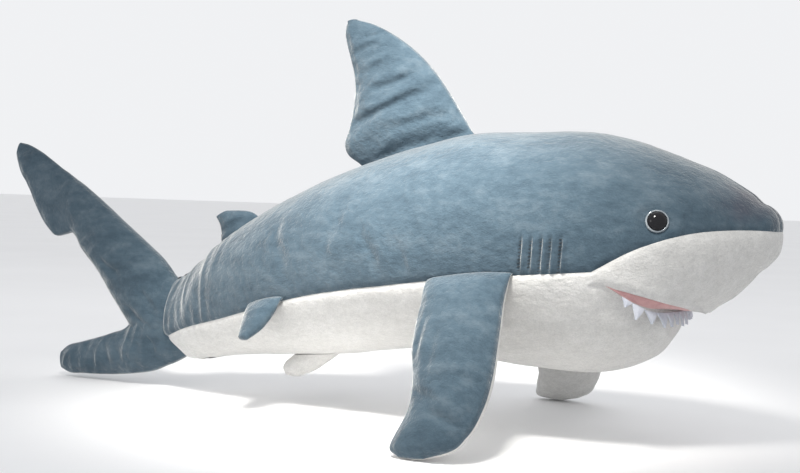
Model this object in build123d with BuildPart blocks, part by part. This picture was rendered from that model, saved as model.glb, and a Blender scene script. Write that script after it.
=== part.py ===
from build123d import *
import os
from math import cos, radians, sin

# A stuffed plush shark: a sewn body with eight sewn-on stuffed fins.
# Frame: +X runs to the nose, +Y to the shark's left, +Z up. The origin lies on the floor,
# under the middle of the whole shark. All sizes are in millimetres.

# ---------------------------------------------------------------- driving dimensions
SKIN = 1.4  # plush cloth with its pile pressed flat
FIN_FACET = 30  # degrees between the facets round a fin's section
ZONE_HALF_WIDTH = 130  # reach of the side-view cutters, past the widest part of the body
ZONE_TOP = 290
ZONE_FRONT = 410
ZONE_REAR = -195

# Body sections from the tail end to the nose: x, back height, belly height, half width.
BODY_STATIONS = [
    (-176, 108, 26, 17),
    (-152, 117, 30, 27),
    (-121, 142, 36, 42),
    (-89, 165, 40, 53),
    (-29, 197, 45, 69),
    (25, 219, 51, 80),
    (83, 237, 60, 87),
    (136, 249, 60, 93),
    (186, 253, 55.5, 96),
    (234, 254, 56, 95),
    (279, 246, 69, 88),
    (302, 238, 83, 81),
    (325, 229, 103, 72),
    (347, 219, 119, 58),
    (362, 209, 130, 44),
    (375, 196, 144, 33),
    (384, 182, 158, 18),
]

# Seams on the flank in side view (x, z). The grey back and the white belly meet along the
# flank seam; at the branch point the white snout panel starts.
FLANK_SEAM = [(ZONE_REAR, 42), (-153, 60), (-93, 77), (6, 105), (115, 124), (201, 135), (264, 141)]
SNOUT_SEAM = [(264, 141), (295, 159), (332, 172), (369, 176), (ZONE_FRONT, 173)]
MOUTH_CORNER = (275, 131)
UPPER_LIP = [MOUTH_CORNER, (297, 125), (313, 119.5), (331, 112), (345, 101)]
LOWER_LIP = [MOUTH_CORNER, (288, 122.5), (301, 116), (317, 109.5), (336, 98)]

# Felt teeth along the lower lip.
TOOTH_FELT = 1.2
TOOTH_COUNT = 7  # on each side
TOOTH_START = (284, 124.5)
TOOTH_END = (325, 105)
TOOTH_DROP = 9
TOOTH_LEAN = 3
TOOTH_BAND = 2.5

# Gill stitching: upright rows of thread behind the head.
GILL_POSITIONS = [209, 217, 225, 232, 240]
GILL_BOTTOM = 139
GILL_TOP = 166
GILL_THREAD = 0.8
GILL_WIDTH = 1.8

# Safety eyes.
EYE_CENTRE = (309, 75.8, 181)
EYE_YAW = 19.5  # turn from straight sideways towards the nose
EYE_PITCH = 15  # tilt above the horizon
EYE_RADIUS = 7.3
EYE_HEIGHT = 5.0
EYE_SINK = 1.6  # the flat back sits this far inside the cloth surface
RIM_RADIUS = 8.8
RIM_DEPTH = 2.6
STEM_RADIUS = 2.0
STEM_LENGTH = 12
WASHER_RADIUS = 9
WASHER_DEPTH = 2
WASHER_INSET = 4.2  # washer face under the eye's flat back

# Fin sections from root to tip: leading point, trailing point, thickness.
DORSAL_FIN = [
    ((126, 0, 251.5), (14, 0, 219.5), 4),
    ((121, 0, 259.5), (13, 0, 227.5), 20),
    ((111, 0, 279), (16, 0, 252), 26),
    ((94, 0, 305), (18, 0, 286), 24),
    ((69, 0, 328), (12, 0, 317), 20),
    ((42, 0, 343), (5, 0, 339), 13),
    ((18, 0, 351), (6, 0, 351), 5),
]
REAR_DORSAL_FIN = [
    ((-84, 0, 171.5), (-122, 0, 146.5), 4),
    ((-91, 0, 175), (-122, 0, 154), 12),
    ((-103, 0, 176), (-124, 0, 162), 12),
    ((-116, 0, 175.5), (-129, 0, 168.5), 5),
]
ANAL_FIN = [
    ((3, 0, 45.5), (-43, 0, 41), 4),
    ((-6, 0, 39), (-48, 0, 36.5), 13),
    ((-18, 0, 31), (-50, 0, 31), 12),
    ((-32, 0, 25), (-48, 0, 26), 5),
]
# The pectoral and pelvic fins are given on the shark's left side; the right side mirrors them.
PECTORAL_FIN = [
    ((204, 98.6, 137), (131, 92.6, 127), 4),
    ((203, 103.8, 124.5), (131, 98.6, 114.5), 13),
    ((205, 112, 108), (129, 107.5, 98.5), 23),
    ((207, 124, 84), (130, 119, 74), 28),
    ((209, 135.5, 62), (138, 131, 52), 30),
    ((208, 147, 40), (140, 142, 30), 28),
    ((201, 155, 21), (137, 151, 13), 22),
    ((190, 159, 8), (139, 156, 2.2), 12),
    ((175, 160.8, 2.4), (146, 159.3, 0.3), 4),
]
PELVIC_FIN = [
    ((-11, 74.2, 104), (-51, 65.2, 95), 4),
    ((-13, 79.5, 96), (-47, 71.5, 87.5), 10),
    ((-16, 87, 85), (-43, 79.5, 79.5), 12),
    ((-21, 92, 77.5), (-41, 84.5, 74), 9),
    ((-26, 94.5, 71), (-37, 90.5, 70), 4),
]
# The tail fin's two lobes start from one root section at the end of the body.
TAIL_ROOT = [
    ((-179, 0, 111), (-179, 0, 24), 4),
    ((-189, 0, 120), (-187, 0, 19), 26),
]
UPPER_LOBE = TAIL_ROOT + [
    ((-212, 0, 138), (-229, 0, 58), 34),
    ((-240, 0, 157), (-255, 0, 88), 32),
    ((-275, 0, 181), (-290, 0, 128), 27),
    ((-312, 0, 202), (-328, 0, 148), 22),
    ((-348, 0, 222), (-366, 0, 185), 15),
    ((-371, 0, 233), (-382.5, 0, 218), 6),
]
LOWER_LOBE = TAIL_ROOT + [
    ((-224, 0, 66), (-206, 0, 7), 30),
    ((-252, 0, 46), (-236, 0, 1.5), 26),
    ((-282, 0, 35), (-268, 0, 0), 22),
    ((-304, 0, 27), (-296, 0, 0), 15),
    ((-315, 0, 16), (-311, 0, 4), 5),
]


# ---------------------------------------------------------------- shared forms
def body_form(inset):
    """The stuffed body, or the same form made smaller all round by inset."""
    end_shift = [inset] + [0] * (len(BODY_STATIONS) - 2) + [-inset]
    with BuildPart() as form:
        for (x, back, belly, half_width), shift in zip(BODY_STATIONS, end_shift):
            centre = (x + shift, 0, (back + belly) / 2)
            with BuildSketch(Plane(origin=centre, x_dir=(0, 1, 0), z_dir=(1, 0, 0))):
                Ellipse(half_width - inset, (back - belly) / 2 - inset)
        loft()
    return form.part


def ellipse_points(half_chord, half_thickness, angles):
    return [(half_chord * cos(radians(a)), half_thickness * sin(radians(a))) for a in angles]


def fin_loft(stations, outline):
    """A loft across a fin's stations. outline gives a section from its half chord and half thickness."""
    root, tip = stations[0], stations[-1]
    span = Vector(*tip[0]) + Vector(*tip[1]) - Vector(*root[0]) - Vector(*root[1])
    with BuildPart() as form:
        for lead, trail, thickness in stations:
            chord = Vector(*lead) - Vector(*trail)
            middle = (Vector(*lead) + Vector(*trail)) / 2
            face = chord.cross(span)
            with BuildSketch(Plane(origin=middle, x_dir=chord, z_dir=face.cross(chord))):
                Polygon(*outline(chord.length / 2, thickness / 2), align=None)
        loft(ruled=True)
    return form.part


def filling_outline(half_chord, half_thickness):
    return ellipse_points(half_chord - SKIN, half_thickness - SKIN, range(0, 360, FIN_FACET))


def panel_outline(facing):
    """One cloth panel's section: the crescent on the side that facing, 1 or -1, gives."""

    def outline(half_chord, half_thickness):
        angles = range(0, 181, FIN_FACET)
        outer = ellipse_points(half_chord, facing * half_thickness, angles)
        inner = ellipse_points(half_chord - SKIN, facing * (half_thickness - SKIN), angles)
        return outer + inner[::-1]

    return outline


def side_zone(*outline):
    """A cutter across the whole width of the shark, from curves drawn in side view."""
    with BuildPart() as zone:
        with BuildSketch(Plane.XZ):
            with BuildLine():
                for curve in outline:
                    add(curve)
            make_face()
        extrude(amount=ZONE_HALF_WIDTH, both=True)
    return zone.part


def spline_through(points):
    return Edge.make_spline([Vector(x, z, 0) for x, z in points])


def line_through(points):
    return Wire.make_polygon([Vector(x, z, 0) for x, z in points], close=False)


def save(piece, name):
    piece.label = name
    export_step(piece, f"parts/{name}.step")


os.makedirs("parts", exist_ok=True)
body_outside = body_form(0)
body_inside = body_form(SKIN)

# ---------------------------------------------------------------- side-view zones of the skin
grey_zone = side_zone(
    spline_through(FLANK_SEAM),
    spline_through(SNOUT_SEAM),
    line_through([SNOUT_SEAM[-1], (ZONE_FRONT, ZONE_TOP), (ZONE_REAR, ZONE_TOP), FLANK_SEAM[0]]),
)
snout_zone = side_zone(
    spline_through(SNOUT_SEAM),
    line_through([SNOUT_SEAM[-1], (ZONE_FRONT, UPPER_LIP[-1][1]), UPPER_LIP[-1]]),
    spline_through(UPPER_LIP),
    line_through([MOUTH_CORNER, SNOUT_SEAM[0]]),
)
mouth_zone = side_zone(
    spline_through(UPPER_LIP),
    line_through([UPPER_LIP[-1], LOWER_LIP[-1]]),
    spline_through(LOWER_LIP),
)


# ---------------------------------------------------------------- eyes
def eye_plane(side, depth):
    """The plane of one eye, facing outward, depth below the cloth surface."""
    yaw, pitch = radians(EYE_YAW), radians(EYE_PITCH)
    outward = Vector(sin(yaw) * cos(pitch), side * cos(yaw) * cos(pitch), sin(pitch))
    x, y, z = EYE_CENTRE
    return Plane(origin=Vector(x, side * y, z) - outward * depth, z_dir=outward)


def make_eye(side):
    """A glossy domed button on a stem that passes through the cloth."""
    plane = eye_plane(side, EYE_SINK)
    dome_sphere = (EYE_RADIUS**2 + EYE_HEIGHT**2) / (2 * EYE_HEIGHT)
    with BuildPart() as eye:
        with Locations(plane.offset(EYE_HEIGHT - dome_sphere)):
            Sphere(dome_sphere)
        split(bisect_by=plane, keep=Keep.TOP)
        with BuildSketch(plane):
            Circle(STEM_RADIUS)
        extrude(amount=-STEM_LENGTH)
    return eye.part


def make_rim(side):
    """The thin clear collar round the dome."""
    with BuildPart() as rim:
        with BuildSketch(eye_plane(side, EYE_SINK)):
            Circle(RIM_RADIUS)
        extrude(amount=RIM_DEPTH)
        add(make_eye(side), mode=Mode.SUBTRACT)
    return rim.part


def make_washer(side):
    """The toothless lock washer pushed over the stem from inside the body."""
    with BuildPart() as washer:
        with BuildSketch(eye_plane(side, EYE_SINK + WASHER_INSET)):
            Circle(WASHER_RADIUS)
            Circle(STEM_RADIUS, mode=Mode.SUBTRACT)
        extrude(amount=-WASHER_DEPTH)
    return washer.part


SIDES = {"right": -1, "left": 1}
eye_hardware = []
for side_name, side in SIDES.items():
    for kind, make in (("eye", make_eye), ("eye_rim", make_rim), ("eye_washer", make_washer)):
        piece = make(side)
        eye_hardware.append(piece)
        save(piece, f"{kind}_{side_name}")


# ---------------------------------------------------------------- body skin and filling
with BuildPart() as body_skin:
    add(body_outside)
    add(body_inside, mode=Mode.SUBTRACT)
    for piece in eye_hardware:
        add(piece, mode=Mode.SUBTRACT)

with BuildPart() as body_stuffing:
    add(body_inside)
    for piece in eye_hardware:
        add(piece, mode=Mode.SUBTRACT)
save(body_stuffing.part, "body_stuffing")

MIDDLE = Plane.XZ  # its normal points to the shark's right
for side_name, keep in (("right", Keep.TOP), ("left", Keep.BOTTOM)):
    with BuildPart() as back_panel:
        add(body_skin.part)
        add(grey_zone, mode=Mode.INTERSECT)
        split(bisect_by=MIDDLE, keep=keep)
    save(back_panel.part, f"back_panel_{side_name}")

    with BuildPart() as snout_panel:
        add(body_skin.part)
        add(snout_zone, mode=Mode.INTERSECT)
        split(bisect_by=MIDDLE, keep=keep)
    save(snout_panel.part, f"snout_panel_{side_name}")

with BuildPart() as mouth_lining:
    add(body_skin.part)
    add(mouth_zone, mode=Mode.INTERSECT)
save(mouth_lining.part, "mouth_lining")

with BuildPart() as belly_panel:
    add(body_skin.part)
    for zone in (grey_zone, snout_zone, mouth_zone):
        add(zone, mode=Mode.SUBTRACT)
save(belly_panel.part, "belly_panel")


# ---------------------------------------------------------------- teeth and gill stitching
def surface_layer(thickness, zone):
    """What lies in the zone of a layer this thick on the outside of the cloth."""
    with BuildPart() as layer:
        add(body_form(-thickness))
        add(body_outside, mode=Mode.SUBTRACT)
        add(zone, mode=Mode.INTERSECT)
    return layer.part


with BuildPart() as tooth_zone:
    with BuildSketch(Plane.XZ):
        run = (Vector(*TOOTH_END) - Vector(*TOOTH_START)) / TOOTH_COUNT
        hang = Vector(-TOOTH_LEAN, -TOOTH_DROP)
        band = Vector(0, TOOTH_BAND)
        start = Vector(*TOOTH_START)
        end = Vector(*TOOTH_END)
        with BuildLine():
            Polyline(start, end, end + band, start + band, close=True)
        make_face()
        for count in range(TOOTH_COUNT):
            root = start + run * count
            with BuildLine():
                Polyline(root, root + run * 0.5 + hang, root + run, close=True)
            make_face()
    extrude(amount=ZONE_HALF_WIDTH, both=True)
save(surface_layer(TOOTH_FELT, tooth_zone.part), "tooth_strip")

for side_name, side in SIDES.items():
    with BuildPart() as gill_zone:
        gill_middle = (GILL_BOTTOM + GILL_TOP) / 2
        with Locations(*[(x, side * ZONE_HALF_WIDTH / 2, gill_middle) for x in GILL_POSITIONS]):
            Box(GILL_WIDTH, ZONE_HALF_WIDTH, GILL_TOP - GILL_BOTTOM)
    save(surface_layer(GILL_THREAD, gill_zone.part), f"gill_stitches_{side_name}")


# ---------------------------------------------------------------- fins
def mirrored(stations):
    return [((a, -b, c), (d, -e, f), t) for (a, b, c), (d, e, f), t in stations]


def joined(lobes, outline):
    with BuildPart() as piece:
        for lobe in lobes:
            add(fin_loft(lobe, outline))
    return piece.part


def save_fin(name, suffix, lobes, panels):
    """Save a fin's filling and its two cloth panels, each joined from the fin's lobes."""
    filling = joined(lobes, filling_outline)
    save(filling, f"{name}_stuffing{suffix}")
    for kind, facing in panels.items():
        with BuildPart() as panel:
            add(joined(lobes, panel_outline(facing)))
            if len(lobes) > 1:
                add(filling, mode=Mode.SUBTRACT)
        save(panel.part, f"{name}_{kind}{suffix}")


# A section's positive side is the shark's left on the fins above the belly, its right below it.
MIDLINE_FINS = {
    "dorsal": ([DORSAL_FIN], 1),
    "rear_dorsal": ([REAR_DORSAL_FIN], 1),
    "tail": ([UPPER_LOBE, LOWER_LOBE], 1),
    "anal": ([ANAL_FIN], -1),
}
for fin_name, (lobes, left_facing) in MIDLINE_FINS.items():
    panels = {"panel_left": left_facing, "panel_right": -left_facing}
    save_fin(fin_name, "", lobes, panels)

for fin_name, left_stations in (("pectoral", PECTORAL_FIN), ("pelvic", PELVIC_FIN)):
    for side_name, side in SIDES.items():
        stations = left_stations if side > 0 else mirrored(left_stations)
        save_fin(fin_name, f"_{side_name}", [stations], {"outer": -side, "inner": side})
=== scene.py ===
import math

import bmesh
import bpy
import numpy as np
from mathutils import Matrix, Vector, noise
from mathutils.bvhtree import BVHTree


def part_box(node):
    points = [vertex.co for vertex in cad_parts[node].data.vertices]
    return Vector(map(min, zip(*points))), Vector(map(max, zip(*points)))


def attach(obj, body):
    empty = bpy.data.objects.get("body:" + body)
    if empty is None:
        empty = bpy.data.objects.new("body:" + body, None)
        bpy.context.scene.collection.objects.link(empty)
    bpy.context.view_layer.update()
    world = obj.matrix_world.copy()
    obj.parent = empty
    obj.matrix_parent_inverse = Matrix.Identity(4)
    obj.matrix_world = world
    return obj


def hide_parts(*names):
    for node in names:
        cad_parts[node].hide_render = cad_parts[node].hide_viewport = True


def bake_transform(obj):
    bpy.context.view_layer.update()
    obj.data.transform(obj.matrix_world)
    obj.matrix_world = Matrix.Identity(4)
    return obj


# A stuffed plush shark. The sewn skin, fins, mouth, eyes and stitching are made here around the
# CAD frame. Lengths are in metres; tables of seams, creases and fins are in millimetres, in the
# CAD's frame: +X points to the nose, +Z is up and the side in the photo faces -Y.

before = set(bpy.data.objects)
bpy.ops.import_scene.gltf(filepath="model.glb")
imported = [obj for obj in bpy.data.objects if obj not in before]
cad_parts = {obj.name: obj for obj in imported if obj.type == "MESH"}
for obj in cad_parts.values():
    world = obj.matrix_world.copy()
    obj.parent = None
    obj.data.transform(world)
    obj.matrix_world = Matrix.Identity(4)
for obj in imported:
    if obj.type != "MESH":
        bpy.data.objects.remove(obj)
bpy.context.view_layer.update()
MM = 0.001
SIDES = ((-1, "right"), (1, "left"))


# ---- small helpers
def through(points, at):
    """A smooth curve through (x, value) points, read at the given x values."""
    points = np.array(sorted(points), float)
    x, y = points[:, 0], points[:, 1:]
    slope = np.gradient(y, x, axis=0)
    at = np.clip(np.asarray(at, float), x[0], x[-1])
    i = np.clip(np.searchsorted(x, at) - 1, 0, len(x) - 2)
    step = (x[i + 1] - x[i])[:, None]
    t = ((at - x[i]) / (x[i + 1] - x[i]))[:, None]
    out = (2 * t**3 - 3 * t**2 + 1) * y[i] + (t**3 - 2 * t**2 + t) * step * slope[i]
    out += (-2 * t**3 + 3 * t**2) * y[i + 1] + (t**3 - t**2) * step * slope[i + 1]
    return out


def smoothstep(edge0, edge1, x):
    t = np.clip((np.asarray(x) - edge0) / (edge1 - edge0), 0, 1)
    return t * t * (3 - 2 * t)


def bump(distance, width):
    """1 at no distance, and close to 0 beyond twice the width."""
    return np.exp(-((distance / width) ** 2))


def noise_field(points, scale, seed, stretch=(1, 1, 1)):
    """Smooth noise from -1 to 1 at each point; scale is the size of one lump."""
    out = np.empty(len(points))
    for i, (x, y, z) in enumerate(points):
        out[i] = noise.noise(
            Vector((x * stretch[0] / scale + seed, y * stretch[1] / scale, z * stretch[2] / scale))
        )
    return out


def grid_normals(grid):
    """Unit normals of a grid of points, pointing along the cross of its two directions."""
    du = np.gradient(grid, axis=0)
    dv = np.gradient(grid, axis=1)
    normal = np.cross(du, dv)
    length = np.linalg.norm(normal, axis=2, keepdims=True)
    return normal / np.maximum(length, 1e-12)


def new_mesh(name, points, faces, material, smooth=True):
    mesh = bpy.data.meshes.new(name)
    mesh.from_pydata([tuple(p) for p in points], [], [tuple(int(v) for v in f) for f in faces])
    mesh.validate()
    mesh.shade_smooth() if smooth else mesh.shade_flat()
    mesh.materials.append(material)
    piece = bpy.data.objects.new(name, mesh)
    bpy.context.collection.objects.link(piece)
    return piece


def grid_faces(rows, columns, keep=None, flip=False):
    faces = []
    for i in range(rows - 1):
        for j in range(columns - 1):
            if keep is None or keep[i, j]:
                a, b = i * columns + j, i * columns + j + 1
                quad = (a, b, b + columns, a + columns)
                faces.append(quad[::-1] if flip else quad)
    return faces


def drop_loose(piece):
    """Removes points that no face uses and merges doubled ones."""
    work = bmesh.new()
    work.from_mesh(piece.data)
    bmesh.ops.delete(work, geom=[v for v in work.verts if not v.link_faces], context="VERTS")
    bmesh.ops.remove_doubles(work, verts=work.verts, dist=1e-6)
    work.to_mesh(piece.data)
    work.free()


def tube(path, radius, sides=6):
    """Points and faces of a tube along a list of points, with rounded ends."""
    points, faces = [], []
    path = [Vector(p) for p in path]
    for i, p in enumerate(path):
        forward = (path[min(i + 1, len(path) - 1)] - path[max(i - 1, 0)]).normalized()
        side = forward.orthogonal().normalized()
        up = forward.cross(side)
        r = radius * (0.55 if i in (0, len(path) - 1) else 1)
        for s in range(sides):
            a = 2 * math.pi * s / sides
            points.append(p + (side * math.cos(a) + up * math.sin(a)) * r)
    for i in range(len(path) - 1):
        for s in range(sides):
            a, b = i * sides + s, i * sides + (s + 1) % sides
            faces.append((a, b, b + sides, a + sides))
    faces.append(tuple(range(sides))[::-1])
    faces.append(tuple(range((len(path) - 1) * sides, len(path) * sides)))
    return points, faces


def gather(parts):
    """Joins several (points, faces) lists into one."""
    points, faces = [], []
    for p, f in parts:
        start = len(points)
        points.extend(p)
        faces.extend([tuple(v + start for v in face) for face in f])
    return points, faces


# ---- materials
class Nodes:
    """A material's node tree, with a short way to add and link nodes."""

    def __init__(self, name):
        self.material = bpy.data.materials.new(name)
        self.material.use_nodes = True
        self.tree = self.material.node_tree
        self.shader = self.tree.nodes["Principled BSDF"]
        coordinates = self.tree.nodes.new("ShaderNodeTexCoord")
        self.position = coordinates.outputs["Object"]

    def add(self, kind, values=None, **settings):
        node = self.tree.nodes.new(kind)
        for key, value in settings.items():
            setattr(node, key, value)
        for socket, value in (values or {}).items():
            self.put(node, socket, value)
        return node

    def put(self, node, socket, value):
        if isinstance(value, bpy.types.NodeSocket):
            self.tree.links.new(value, node.inputs[socket])
        else:
            node.inputs[socket].default_value = value

    def noise(self, scale, detail=4.0, roughness=0.55, stretch=(1, 1, 1), offset=0.0):
        shift = (offset, offset * 0.7, offset * 0.3)
        mapping = self.add(
            "ShaderNodeMapping", {"Vector": self.position, "Scale": stretch, "Location": shift}
        )
        values = {"Vector": mapping.outputs[0], "Scale": scale, "Detail": detail}
        return self.add("ShaderNodeTexNoise", values | {"Roughness": roughness}).outputs["Fac"]

    def ramp(self, factor, stops):
        node = self.add("ShaderNodeValToRGB", {"Fac": factor})
        elements = node.color_ramp.elements
        while len(elements) < len(stops):
            elements.new(0.5)
        for element, (place, colour) in zip(elements, stops):
            element.position = place
            element.color = (*colour, 1)
        return node.outputs["Color"]

    def mix(self, factor, a, b, blend="MIX"):
        node = self.add("ShaderNodeMix", data_type="RGBA", blend_type=blend)
        for index, value in ((0, factor), (6, a), (7, b)):
            self.put(node, index, (*value, 1) if isinstance(value, tuple) else value)
        return node.outputs[2]

    def math(self, operation, a, b=0.0):
        return self.add("ShaderNodeMath", {0: a, 1: b}, operation=operation).outputs[0]

    def between(self, factor, low, high):
        return self.add("ShaderNodeMapRange", {"Value": factor, 3: low, 4: high}).outputs[0]

    def bump(self, heights):
        """Stacks bump nodes from (height, strength, distance) entries."""
        normal = None
        for height, strength, distance in heights:
            values = {"Height": height, "Strength": strength, "Distance": distance}
            node = self.add("ShaderNodeBump", values)
            if normal is not None:
                self.tree.links.new(normal, node.inputs["Normal"])
            normal = node.outputs["Normal"]
        self.tree.links.new(normal, self.shader.inputs["Normal"])

    def colour(self, value):
        self.put(self.shader, "Base Color", value)

    def set(self, **values):
        for key, value in values.items():
            self.shader.inputs[key.replace("_", " ")].default_value = value


def srgb(r, g, b):
    """Linear colour from 0-255 screen values."""
    return tuple(((v / 255 + 0.055) / 1.055) ** 2.4 if v > 10 else v / 3294.6 for v in (r, g, b))


def plush(name, dark, middle, light, sheen, sheen_tint, patch):
    """Short pile cloth: brushed patches, streaks along the nap and single tufts. The share of
    the colour that comes from the patches is patch; the rest comes from the streaks."""
    m = Nodes(name)
    brushed = m.noise(13, 5, 0.62, (0.8, 1, 1.25))
    streaks = m.noise(70, 4, 0.6, (0.35, 1, 1), 3.1)
    tufts = m.noise(1150, 2, 0.6, (0.7, 1, 1), 1.7)
    clumps = m.noise(330, 3, 0.65, (0.6, 1, 1), 5.3)
    crushed = m.noise(150, 3, 0.6, (0.8, 1, 1), 9.7)
    tone = m.math("ADD", m.math("MULTIPLY", brushed, patch), m.math("MULTIPLY", streaks, 1 - patch))
    tone = m.math("ADD", m.math("MULTIPLY", tone, 0.7), m.math("MULTIPLY", crushed, 0.3))
    base = m.ramp(tone, [(0.34, dark), (0.5, middle), (0.66, light)])
    fine = m.ramp(clumps, [(0.3, (0.80, 0.80, 0.80)), (0.7, (1.0, 1.0, 1.0))])
    base = m.mix(0.55, base, fine, "MULTIPLY")
    specks = m.ramp(tufts, [(0.33, (0.72, 0.73, 0.75)), (0.62, (1.0, 1.0, 1.0))])
    m.colour(m.mix(0.5, base, specks, "MULTIPLY"))
    m.bump([(crushed, 0.5, 0.0022), (clumps, 0.5, 0.0012), (tufts, 0.5, 0.0006)])
    m.set(Roughness=0.9, Sheen_Weight=sheen, Sheen_Roughness=0.36, Sheen_Tint=(*sheen_tint, 1))
    m.set(Specular_IOR_Level=0.18)
    return m


def felt(name, colour, shade):
    m = Nodes(name)
    fibres = m.noise(900, 4, 0.7)
    matted = m.noise(120, 4, 0.6, offset=2.0)
    base = m.ramp(matted, [(0.3, shade), (0.7, colour)])
    fine = m.ramp(fibres, [(0.3, (0.75, 0.75, 0.75)), (0.7, (1, 1, 1))])
    m.colour(m.mix(0.4, base, fine, "MULTIPLY"))
    m.bump([(matted, 0.3, 0.001), (fibres, 0.5, 0.0004)])
    m.set(Roughness=0.9, Sheen_Weight=0.25, Sheen_Roughness=0.5, Specular_IOR_Level=0.2)
    return m.material


def thread(name, colour):
    m = Nodes(name)
    twist = m.add("ShaderNodeTexWave", {"Vector": m.position, "Scale": 900.0, "Distortion": 1.5})
    twist = twist.outputs["Fac"]
    m.colour(m.ramp(twist, [(0.2, tuple(c * 0.55 for c in colour)), (0.8, colour)]))
    m.bump([(twist, 0.4, 0.0002)])
    m.set(Roughness=0.6, Sheen_Weight=0.15)
    return m.material


# ---- the body measured from the frame
SKIN_NODES = [f"{panel}_{side}" for panel in ("back_panel", "snout_panel") for _, side in SIDES]
SKIN_NODES += ["belly_panel", "mouth_lining"]
BODY_FRONT, NOSE_CAP = 0.3895, 0.0145  # tip of the nose, and the stretch that rounds it off
REAR_CAP = 0.006  # the stretch that rounds off the rear end
OFF_SEAM = 0.0004  # rays miss the seam between the two halves of the CAD skin


def measured_sections():
    """Back height, belly height and half width of the CAD body at points along it."""
    points, faces = gather(
        ([v.co for v in mesh.vertices], [p.vertices for p in mesh.polygons])
        for mesh in (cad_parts[name].data for name in SKIN_NODES)
    )
    solid = BVHTree.FromPolygons(points, faces)
    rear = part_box("back_panel_left")[0].x
    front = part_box("body_stuffing")[1].x
    at = np.linspace(rear + MM, front - MM, 120)
    rows = []
    for x in at:
        back = solid.ray_cast(Vector((x, OFF_SEAM, 1)), Vector((0, 0, -1)))[0].z
        belly = solid.ray_cast(Vector((x, OFF_SEAM, -1)), Vector((0, 0, 1)))[0].z
        wide = solid.ray_cast(Vector((x, 1, (back + belly) / 2)), Vector((0, -1, 0)))[0].y
        rows.append((back, belly, wide))
    return at, np.array(rows)


section_x, section_table = measured_sections()
# A short running average takes out the facets of the CAD skin.
kernel = np.array((1, 2, 3, 2, 1)) / 9
section_table = np.stack(
    [np.convolve(np.pad(c, 2, mode="edge"), kernel, "valid") for c in section_table.T], axis=1
)
BODY_REAR = section_x[0] - MM
CAP_START = BODY_FRONT - NOSE_CAP


def sections(x):
    """Middle height, half height and half width of the body at x, with the nose rounded off."""
    held = np.minimum(x, CAP_START)
    back, belly, wide = (np.interp(held, section_x, section_table[:, k]) for k in range(3))
    belly = belly + 0.0035 * bump(held - 0.370, 0.013)
    cap = np.clip((x - CAP_START) / NOSE_CAP, 0, 1)
    shrink = np.sqrt(np.maximum(1 - cap**1.45, 0))
    end = np.clip((x - BODY_REAR) / REAR_CAP, 0, 1)
    shrink = shrink * (0.62 + 0.38 * np.sqrt(1 - (1 - end) ** 2))
    return (back + belly) / 2 + 0.0035 * cap, (back - belly) / 2 * shrink, wide * shrink


def on_body(x, z, side, lift=0.0):
    """The point of the plain body surface at x and height z, on one side."""
    middle, tall, wide = sections(np.asarray(x, float))
    angle = np.arcsin(np.clip((np.asarray(z) - middle) / np.maximum(tall, 1e-6), -1, 1))
    y = side * (wide + lift) * np.cos(angle)
    return np.stack([np.broadcast_to(x, y.shape), y, middle + (tall + lift) * np.sin(angle)], -1)


# Seams in side view (x, z) in millimetres, as in the CAD, but for a lower lip up to 6 mm lower.
FLANK_SEAM = [(-195, 42), (-153, 60), (-93, 77), (6, 105), (115, 124), (201, 135), (264, 141)]
SNOUT_SEAM = [(264, 141), (295, 159), (332, 172), (369, 176), (410, 173)]
UPPER_LIP = [(275, 131), (297, 125), (313, 119.5), (331, 112), (345, 101)]
LOWER_LIP = [(275, 131), (288, 120.5), (301, 112.5), (317, 104), (336, 92)]
BRANCH_X = FLANK_SEAM[-1][0] * MM
CORNER_X = UPPER_LIP[0][0] * MM


def flank_seam(x):
    rear = through(FLANK_SEAM, x / MM)[:, 0]
    front = through(SNOUT_SEAM, x / MM)[:, 0]
    return np.where(x < BRANCH_X, rear, front) * MM


def lip(points, x):
    return through(points, np.asarray(x) / MM)[:, 0] * MM


def lip_front(points):
    """Where a lip line meets the underside of the body, in the middle of the chin."""
    reach = np.linspace(CORNER_X, BODY_FRONT, 400)
    middle, tall, _ = sections(reach)
    return reach[np.argmax(lip(points, reach) - (middle - tall) <= 0)]


JAW_FRONT = 0.309
LIP_FRONT = lip_front(UPPER_LIP)


def tucked(x, keep):
    """The jaw ends behind the lip, so only a share of what is ahead of its front is kept."""
    return np.where(x > JAW_FRONT, JAW_FRONT + (x - JAW_FRONT) * keep, x)


def at_mouth(x):
    """Grows from 0 to 1 about the corner of the mouth."""
    return smoothstep(CORNER_X - 0.012, CORNER_X + 0.012, x)


def jaw_setback(x):
    """How far the lower jaw sits back behind the upper lip: more and more towards the chin."""
    return at_mouth(x) * (0.0028 + 0.0112 * smoothstep(0.294, 0.328, x))


# ---- body grid
ROWS_GREY, ROWS_LIP, ROWS_WHITE = 60, 18, 46


def spaced(*stretches):
    """Joins stretches of (start, stop, step) into one list of x values."""
    values = []
    for start, stop, step in stretches:
        count = max(int(round((stop - start) / step)), 1)
        values.extend(np.linspace(start, stop, count, endpoint=False))
    return values


cap_turn = np.linspace(0, math.pi / 2, 20)[1:]
columns = np.array(
    spaced(
        (BODY_REAR, BODY_REAR + REAR_CAP, 0.0006),
        (BODY_REAR + REAR_CAP, -0.09, 0.0013),
        (-0.09, 0.200, 0.0020),
        (0.200, 0.248, 0.0008),
        (0.248, BRANCH_X, 0.0016),
        (BRANCH_X, CAP_START, 0.0014),
    )
    + list(CAP_START + NOSE_CAP * (1 - (1 - np.sin(cap_turn)) ** 1.3 * 0.999 - 0.00005))
)

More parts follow.
